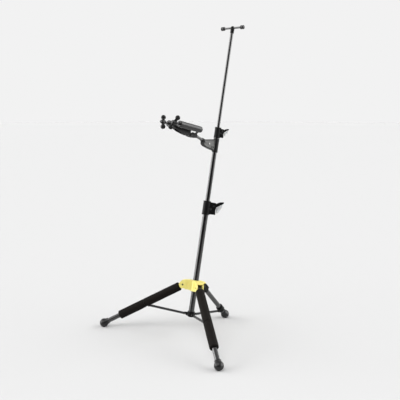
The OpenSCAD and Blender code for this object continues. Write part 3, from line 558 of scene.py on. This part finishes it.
buildProngSleeves()
print("prong sleeves built")

foot = {"radius": 0.021, "frontLeg": 0.442, "rearLeg": 0.25388, "tube": 0.0115, "neck": 0.0140, "lip": 0.0147,
        "lipFrom": 0.0200, "lipTo": 0.0245, "edge": 0.0012, "bead": 0.006, "beadAt": 0.002, "beadWide": 0.0005}


# A ball boot turned about the leg: ball with a fine parting bead round its middle, a neck that draws in on a
# smooth step, and a rolled lip round the tube. Everything below the floor line is pressed flat onto it.
def buildFeet():
    ball, tube, lip = foot["radius"], foot["tube"], foot["lip"]
    low, high, edge = foot["lipFrom"], foot["lipTo"], foot["edge"]
    q = np.linspace(0.03, 0.70, 60) * math.pi
    sphere = np.stack([ball * np.sin(q), -ball * np.cos(q)], -1)
    sphere[:, 0] *= 1 - foot["bead"] * (1 - np.exp(-((sphere[:, 1] - foot["beadAt"]) / foot["beadWide"]) ** 2))
    r0, z0 = sphere[-1]
    z = np.linspace(z0 + 0.0004, low, 22)
    s = (z - z0) / (low - z0)
    neck = r0 + (foot["neck"] - r0) * s * (1.35 - 0.35 * s)
    foldIn = softCorner((neck[-1], low), (lip, low), (lip, low + edge), 6)
    foldOut = softCorner((lip, high - edge), (lip, high), (lip - edge, high), 6)
    inner = np.array([[tube + 0.0004, high], [tube + 0.0001, high - 0.0006], [tube + 0.0001, -0.0002]])
    profile = np.vstack([sphere, np.stack([neck, z], -1), foldIn[1:], foldOut, inner])
    turned = ring(profile[:, 0], profile[:, 1], 120)
    for side in ("left", "right", "rear"):
        origin, axes = legFrame(side)
        long = foot["rearLeg"] if side == "rear" else foot["frontLeg"]
        points, faces = skin(put(turned - [0, 0, long], (origin, axes)))
        points[:, 2] = np.maximum(points[:, 2], 0.0)
        makePiece("boot." + side, [(points, faces)], looks["footRubber"], "leg_" + side,
                  ["foot_" + side])


buildFeet()
print("feet built")

gate = {"forward": 0.341, "reach": 0.024, "lean": math.radians(24.5), "back": 0.007, "knob": 0.01095,
        "barrel": 0.00895, "barrelLong": 0.022, "bore": 0.0046, "neck": 0.0064, "waist": 0.0078, "edge": 0.0012,
        "dip": 0.0007, "dipHalf": 0.009}


# Each gate is a finger turned about its own slanted axis: a round knob at each end, a flared skirt under each
# and a waist at the middle, with a barrel across it that turns on the prong's rod.
def buildGates():
    knob, half = gate["knob"], math.hypot(gate["reach"], gate["back"])
    q = np.linspace(0.05, 0.79, 34) * math.pi
    cap = np.stack([knob * np.sin(q), -half - knob * np.cos(q)], -1)
    s = np.linspace(0.04, 1, 26)
    r0, z0 = cap[-1]
    skirt = r0 + (gate["neck"] - r0) * np.clip(s * 6, 0, 1) + (gate["waist"] - gate["neck"]) * s ** 1.5
    lower = np.vstack([cap, np.stack([skirt, z0 - z0 * s], -1)])
    profile = np.vstack([lower, lower[::-1][1:] * [1, -1]])
    finger = ring(profile[:, 0], profile[:, 1], 56)
    wide, end, bore, edge = gate["barrel"], gate["barrelLong"] / 2, gate["bore"], gate["edge"]
    dip = wide - gate["dip"] * np.sin(np.linspace(0, math.pi, 12))
    tubeLoop = np.vstack([
        softCorner((wide - edge, -end), (wide, -end), (wide, -end + edge), 5),
        np.stack([dip, np.linspace(-gate["dipHalf"], gate["dipHalf"], 12)], -1),
        softCorner((wide, end - edge), (wide, end), (wide - edge, end), 5),
        [[bore, end], [bore, -end]]])
    barrel = ring(tubeLoop[:, 0], tubeLoop[:, 1], 56)[:, :, [0, 2, 1]]
    for name, sign in (("left", 1), ("right", -1)):
        place = frontFrame(sign * prong["side"], gate["forward"], stance["prongHigh"])
        out = sign * gate["reach"] * math.sin(gate["lean"])
        tip = np.array([out, -gate["back"], gate["reach"] * math.cos(gate["lean"])])
        slant = along((0, 0, 0), tip)
        shells = [skin(put(put(finger, slant), place)), skin(put(barrel, place), closedLoop=True)]
        makePiece("gate." + name, shells, looks["gateRubber"], "gate_" + name, ["gate_" + name])


buildGates()
print("gates built")

# millimetres from the lever's pin, at the lower clutch's scale
clutch = {
    "low": {"scale": 1.0, "body": "low_lever", "joint": "low_clutch_lever"},
    "top": {"scale": 0.66, "body": "top_lever", "joint": "top_clutch_lever"},
    "leverUp": [(0, 7.9), (8, 9.5), (16, 16.8), (24, 21.3), (34, 24.3), (44, 25.7), (46.6, 24.2)],
    "leverLow": [(4, -5.0), (12, -4.4), (17, -1.6), (22.5, 2.6), (31, 9.0), (44, 17.6), (46.3, 21)],
    "gripOut": [(18.5, -33), (24, -29.5), (32.6, -18.5), (39, -6), (42.6, 6), (43.4, 16.2)],
    "gripIn": [(18.2, -33), (15.8, -28), (14.4, -17), (15, -8), (18.4, -1.4), (42.8, 16.4)],
    "cam": 7.9, "camHalf": 4.8, "camEdge": 0.7, "narrow": 4.8, "neck": 24.5, "neckLong": 2.5, "leverWide": 10.9,
    "gripWide": 9.4, "dish": 2.6, "dishAt": (30, -6), "dishArea": 60.0, "corner": 0.42, "close": 0.05}


# A smooth path through points: cubic pieces whose slope at each point is half the step between its neighbours.
def smoothPath(points, count):
    p = np.asarray(points, float)
    p = np.vstack([2 * p[0] - p[1], p, 2 * p[-1] - p[-2]])
    u = np.linspace(0, len(points) - 1, count)
    i = np.minimum(u.astype(int), len(points) - 2)
    f = (u - i)[:, None]
    a, b, c, d = p[i], p[i + 1], p[i + 2], p[i + 3]
    return 0.5 * (2 * b + (c - a) * f + (2 * a - 5 * b + 4 * c - d) * f ** 2 + (3 * b - a - 3 * c + d) * f ** 3)


# A blade between two edge paths. Each section is a rounded oblong, the sine and cosine raised to a power below
# one, and it is narrow near the pin and wide past the neck. The ends close on a quarter circle.
def bladeShell(upper, lower, wide, dish, scale, rows=64, cols=48):
    top, bottom = smoothPath(upper, rows), smoothPath(lower, rows)
    middle, half = (top + bottom) / 2, (top - bottom) / 2
    s = np.linspace(0, 1, rows)
    nearEnd = np.clip(1 - np.minimum(s, 1 - s) / clutch["close"], 0, 1)
    close = np.sqrt(np.clip(1 - nearEnd ** 2, 0.0004, 1))
    turn = np.linspace(0, 2 * math.pi, cols, endpoint=False)
    c, n = np.cos(turn), np.sin(turn)
    c, n = (np.sign(v) * np.abs(v) ** clutch["corner"] for v in (c, n))
    spot = middle[:, None, :] + half[:, None, :] * (c[None, :, None] * close[:, None, None])
    out = np.linalg.norm(spot, axis=-1)
    step = np.clip((out - clutch["neck"]) / clutch["neckLong"], 0, 1)
    width = clutch["narrow"] + (wide - clutch["narrow"]) * step * step * (3 - 2 * step)
    dishX, dishY = clutch["dishAt"]
    hollow = dish * np.exp(-((spot[..., 0] - dishX) ** 2 + (spot[..., 1] - dishY) ** 2) / clutch["dishArea"])
    x = n[None, :] * (width - hollow) * close[:, None]
    return np.stack([x, spot[..., 0], spot[..., 1]], -1) * (scale / 1000)


# The cam: a disc about the pin with soft edges.
def camShell(scale):
    r, half, soft = clutch["cam"], clutch["camHalf"], clutch["camEdge"]
    profile = np.vstack([softCorner((r - soft, -half), (r, -half), (r, -half + soft)),
                         softCorner((r, half - soft), (r, half), (r - soft, half))])
    return ring(profile[:, 0], profile[:, 1], 72)[:, :, [2, 0, 1]] * (scale / 1000)


def buildLevers():
    for name in ("low", "top"):
        part = clutch[name]
        joint, scale = joints[part["joint"]], part["scale"]
        across = unit(joint["axis"])
        place = (np.array(joint["pos_m"]), np.array([across, unit(np.cross(postUp, across)), postUp]))
        lever = bladeShell(clutch["leverUp"], clutch["leverLow"], clutch["leverWide"], 0.0, scale)
        grip = bladeShell(clutch["gripOut"], clutch["gripIn"], clutch["gripWide"], clutch["dish"], scale)
        makePiece("camLever." + name, [skin(put(lever, place)), skin(put(camShell(scale), place))],
                  looks["blackMoulding"], part["body"], [name + "_clutch_lever"])
        makePiece("leverGrip." + name, [skin(put(grip, place))], looks["paleGrip"], part["body"],
                  [name + "_clutch_grip"])


buildLevers()
print("clutch levers built")

barKnob = {"half": 0.060, "radius": 0.0095, "long": 0.020, "bore": 0.0046, "flutes": 12, "flute": 0.035,
           "dome": 0.0042, "waist": 0.05, "fluteHalf": 0.0072, "fluteFade": 0.002}


# A fluted cap: domed outer end, a body whose radius dips on a cosine of twelve flutes, and a flared collar.
def buildBarKnobs():
    r, long = barKnob["radius"], barKnob["long"]
    q = np.linspace(0.05, 0.5, 14) * math.pi
    dome = np.stack([r * np.sin(q), long / 2 - barKnob["dome"] + barKnob["dome"] * np.cos(q)], -1)
    z = np.linspace(long / 2 - 0.0046, -long / 2 + 0.0030, 26)
    waist = r * (1 - barKnob["waist"] * np.sin(math.pi * (z - z[0]) / (z[-1] - z[0])))
    collar = softCorner((waist[-1] * 0.97, -long / 2 + 0.0026), (waist[-1], -long / 2), (0.0072, -long / 2), 8)
    mouth = np.array([[barKnob["bore"] + 0.0006, -long / 2], [barKnob["bore"], -long / 2 + 0.0008],
                      [barKnob["bore"], -long / 2 + 0.010]])
    profile = np.vstack([dome, np.stack([waist, z], -1), collar, mouth])

    def flutes(a, level):
        half, soft = barKnob["fluteHalf"], barKnob["fluteFade"]
        fade = np.clip((level + half) / soft, 0, 1) * np.clip((half - level) / soft, 0, 1)
        return 1 - barKnob["flute"] * fade * (0.5 - 0.5 * np.cos(barKnob["flutes"] * a))

    turned = ring(profile[:, 0], profile[:, 1], 120, flutes)
    shells = []
    for sign in (1, -1):
        origin, axes = frontFrame(0, 0, stance["tBarHigh"])
        centre = origin + sign * barKnob["half"] * axes[0]
        shells.append(skin(put(turned, along(centre, centre + sign * axes[0]))))
    makePiece("barKnobs", shells, looks["footRubber"], "rod", ["t_bar_knobs"])


buildBarKnobs()
print("bar knobs built")

# ramps are (nothing, full) in the cosine with the front, and the last in the height
studio = {"floor": (0.643, 0.643, 0.643), "pale": 0.888, "back": 0.60, "front": 0.03, "box": 3.7, "half": 26.0,
          "facing": (0.665, -0.747, 0.0), "awayRamp": (0.60, 0.45), "boxFront": (0.50, 0.40),
          "boxBack": (-0.60, -0.50), "boxTop": (0.70, 0.50), "steps": 96}
suns = {
    "keySun": {"place": (0.5, -2.4, 3.9), "strength": 1.25, "spread": 50},
    "sideSun": {"place": (3.4, 1.0, 2.2), "strength": 0.35, "spread": 60}}
sunTarget = Vector((0, 0, 0.7))


def plainMaterial(name, colour, roughness):
    material = bpy.data.materials.new(name)
    material.use_nodes = True
    shader = material.node_tree.nodes["Principled BSDF"]
    shader.inputs["Base Color"].default_value = (*colour, 1.0)
    shader.inputs["Roughness"].default_value = roughness
    shader.inputs["Specular IOR Level"].default_value = 0.0
    return material


# A flat round plate, as wide as the eye follows it, in the same pale tone as the air above it.
def buildFloor():
    angle = np.linspace(0, 2 * math.pi, studio["steps"], endpoint=False)
    points = np.stack([studio["half"] * np.cos(angle), studio["half"] * np.sin(angle), 0 * angle], -1)
    mesh = bpy.data.meshes.new("studioFloor")
    mesh.from_pydata(points.tolist(), [], [list(range(studio["steps"]))])
    mesh.materials.append(plainMaterial("studioPaper", studio["floor"], 1.0))
    floor = bpy.data.objects.new("studioFloor", mesh)
    bpy.context.scene.collection.objects.link(floor)


# The air gives an even pale tone to the eye. The light it sheds is dim from the front, pale from the back and
# strong from a tall soft box at each side. Each band is a clamped ramp of the direction's cosine with the front,
# and the boxes fade out overhead by a ramp of its height.
def buildAir():
    world = bpy.data.worlds.new("studioAir")
    world.use_nodes = True
    tree = world.node_tree
    direction = tree.nodes.new("ShaderNodeTexCoord").outputs["Generated"]
    dot = addNode(tree, "ShaderNodeVectorMath", operation="DOT_PRODUCT")
    tree.links.new(direction, dot.inputs[0])
    dot.inputs[1].default_value = studio["facing"]
    split = tree.nodes.new("ShaderNodeSeparateXYZ")
    tree.links.new(direction, split.inputs[0])

    def ramp(value, limits):
        start, end = limits
        slope = 1.0 / (end - start)
        return addMath(tree, "ADD", addMath(tree, "MULTIPLY", value, slope), -start * slope, clamp=True)

    cosine = dot.outputs["Value"]
    away = ramp(cosine, studio["awayRamp"])
    box = addMath(tree, "MULTIPLY", ramp(cosine, studio["boxFront"]), ramp(cosine, studio["boxBack"]))
    box = addMath(tree, "MULTIPLY", box, ramp(split.outputs["Z"], studio["boxTop"]))
    light = addMath(tree, "MULTIPLY", away, studio["back"] - studio["front"])
    light = addMath(tree, "ADD", light, studio["front"])
    light = addMath(tree, "ADD", light, addMath(tree, "MULTIPLY", box, studio["box"]))
    seen = tree.nodes.new("ShaderNodeLightPath").outputs["Is Camera Ray"]
    lit = addMath(tree, "MULTIPLY", light, addMath(tree, "SUBTRACT", 1.0, seen))
    plain = addMath(tree, "MULTIPLY", seen, studio["pale"])
    tree.links.new(addMath(tree, "ADD", lit, plain), tree.nodes["Background"].inputs["Strength"])
    tree.nodes["Background"].inputs["Color"].default_value = (1.0, 1.0, 1.0, 1.0)
    bpy.context.scene.world = world


# A soft distant lamp: parallel light from a place towards the stand, spread over an angle.
def addSun(name, place, strength, spread):
    lamp = bpy.data.lights.new(name, "SUN")
    lamp.energy, lamp.angle = strength, math.radians(spread)
    light = bpy.data.objects.new(name, lamp)
    light.location = place
    light.rotation_euler = (sunTarget - Vector(place)).to_track_quat("-Z", "Y").to_euler()
    bpy.context.scene.collection.objects.link(light)


view = {"azimuth": math.radians(41.661), "elevation": math.radians(7.307), "far": 2.8495, "lens": 54.825,
        "sensor": 36.0, "target": (0.00757, 0.00513, 0.75096), "shift": (0.0072, -0.06)}


def buildCamera():
    a, e = view["azimuth"], view["elevation"]
    back = Vector((math.sin(a) * math.cos(e), -math.cos(a) * math.cos(e), math.sin(e)))
    data = bpy.data.cameras.new("camera")
    data.lens, data.sensor_width = view["lens"], view["sensor"]
    data.shift_x, data.shift_y = view["shift"]
    camera = bpy.data.objects.new("camera", data)
    camera.location = Vector(view["target"]) + back * view["far"]
    camera.rotation_euler = (-back).to_track_quat("-Z", "Y").to_euler()
    bpy.context.scene.collection.objects.link(camera)
    bpy.context.scene.camera = camera


bpy.context.scene.view_settings.view_transform = "Standard"
buildAir()
buildFloor()
for sunName, sun in suns.items():
    addSun(sunName, sun["place"], sun["strength"], sun["spread"])
buildCamera()
print("studio built")
